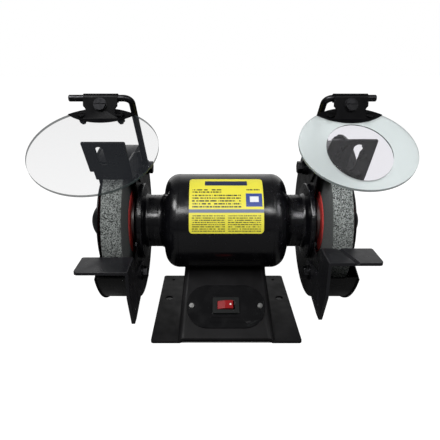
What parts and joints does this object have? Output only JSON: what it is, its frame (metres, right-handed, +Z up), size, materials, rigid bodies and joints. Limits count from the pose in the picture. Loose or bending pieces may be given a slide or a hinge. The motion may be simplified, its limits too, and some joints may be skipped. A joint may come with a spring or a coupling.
{
  "type": "bench grinder",
  "caption": "Bench grinder with a wheel at each end of a motor, tilting eye shields, spark guards, tool rests and a sloping switch panel on a bolt-down base.",
  "frame": {"origin": "middle of the two bench bolt holes, on the bench surface", "axes": "+X along the spindle to the right wheel seen from the switch side, +Y to the back, +Z up"},
  "size_m": [0.3293, 0.2335, 0.243],
  "materials": {
    "base_paint": "satin black",
    "motor_paint": "semi-gloss black",
    "guard_paint": "satin black",
    "rest_paint": "matte dark grey",
    "steel": "zinc plated",
    "black_steel": "blackened steel",
    "laminations": "stacked sheet edges",
    "copper": "enamelled copper wire",
    "switch_gloss": "gloss black",
    "switch_bezel": "dark grey-green",
    "rocker_red": "red",
    "capacitor_case": "white moulded",
    "rubber": "black rubber",
    "label": "printed yellow foil",
    "abrasive": "grey-green grit",
    "blotter_red": "red paper",
    "clear_shield": "clear, faint blue-grey",
    "frosted_shield": "frosted grey"
  },
  "bodies": {
    "housing": {"base": "base_paint", "bottom_cover": "base_paint", "bottom_cover_screws": "steel", "motor_mount_bolts": "steel", "switch_plate": "switch_gloss", "switch_plate_screws": "steel", "switch_body": "switch_bezel", "capacitor": "capacitor_case", "capacitor_clip": "base_paint", "cord_gland": "rubber", "motor_shell": "motor_paint", "end_bell_left": "motor_paint", "end_bell_right": "motor_paint", "tie_bolts": "steel", "stator_core": "laminations", "stator_windings": "copper", "name_plate": "label", "bearing_outer_left": "steel", "bearing_outer_right": "steel", "wave_washer": "steel", "guard_left": "guard_paint", "guard_right": "guard_paint", "guard_cover_left": "guard_paint", "guard_cover_right": "guard_paint", "guard_cover_screws": "steel", "guard_bolts": "black_steel", "shield_clamp_bolts": "black_steel", "rest_bolts": "black_steel"},
    "rotor": {"shaft": "steel", "rotor_core": "laminations", "wheel_bushes": "steel", "bearing_inner_left": "steel", "bearing_inner_right": "steel", "bearing_balls_left": "steel", "bearing_balls_right": "steel", "wheel_left": "abrasive", "wheel_right": "abrasive", "blotters_left": "blotter_red", "blotters_right": "blotter_red", "inner_flange_left": "steel", "inner_flange_right": "steel", "outer_flange_left": "black_steel", "outer_flange_right": "black_steel", "spindle_nut_left": "black_steel", "spindle_nut_right": "black_steel"},
    "rocker": {"rocker": "rocker_red"},
    "shield_arm_left": {"shield_arm_left": "black_steel"},
    "tool_rest_left": {"tool_rest_left": "rest_paint"},
    "spark_guard_left": {"spark_guard_left": "guard_paint"},
    "shield_arm_right": {"shield_arm_right": "black_steel"},
    "tool_rest_right": {"tool_rest_right": "rest_paint"},
    "spark_guard_right": {"spark_guard_right": "guard_paint"},
    "eye_shield_left": {"shield_bracket_left": "guard_paint", "shield_screws_left": "steel", "shield_left": "clear_shield"},
    "eye_shield_right": {"shield_bracket_right": "guard_paint", "shield_screws_right": "steel", "shield_frame_right": "frosted_shield", "magnifier_right": "clear_shield"}
  },
  "joints": [
    {"name": "rotor_spin", "type": "hinge", "parent": "housing", "child": "rotor", "pos_m": [0, 0, 0.101], "axis": [1, 0, 0], "continuous": true},
    {"name": "power_rocker", "type": "hinge", "parent": "housing", "child": "rocker", "pos_m": [0, -0.05978, 0.02623], "axis": [0, 0.8226, 0.5686], "range_deg": [0, 18]},
    {"name": "shield_arm_left_swing", "type": "hinge", "parent": "housing", "child": "shield_arm_left", "pos_m": [-0.0875, 0.017, 0.158], "axis": [1, 0, 0], "range_deg": [-45, 0]},
    {"name": "eye_shield_left_tilt", "type": "hinge", "parent": "shield_arm_left", "child": "eye_shield_left", "pos_m": [-0.1144, -0.057, 0.239], "axis": [1, 0, 0], "range_deg": [-60, 0]},
    {"name": "tool_rest_left_slide", "type": "slide", "parent": "housing", "child": "tool_rest_left", "axis": [0, -1, 0], "range_m": [-0.0015, 0.008]},
    {"name": "spark_guard_left_slide", "type": "slide", "parent": "housing", "child": "spark_guard_left", "axis": [0, -0.5985, 0.8012], "range_m": [-0.0015, 0.0025]},
    {"name": "shield_arm_right_swing", "type": "hinge", "parent": "housing", "child": "shield_arm_right", "pos_m": [0.0875, 0.017, 0.158], "axis": [1, 0, 0], "range_deg": [-45, 0]},
    {"name": "eye_shield_right_tilt", "type": "hinge", "parent": "shield_arm_right", "child": "eye_shield_right", "pos_m": [0.1097, -0.057, 0.239], "axis": [1, 0, 0], "range_deg": [-60, 0]},
    {"name": "tool_rest_right_slide", "type": "slide", "parent": "housing", "child": "tool_rest_right", "axis": [0, -1, 0], "range_m": [-0.0015, 0.008]},
    {"name": "spark_guard_right_slide", "type": "slide", "parent": "housing", "child": "spark_guard_right", "axis": [0, -0.5985, 0.8012], "range_m": [-0.0015, 0.0025]}
  ]
}
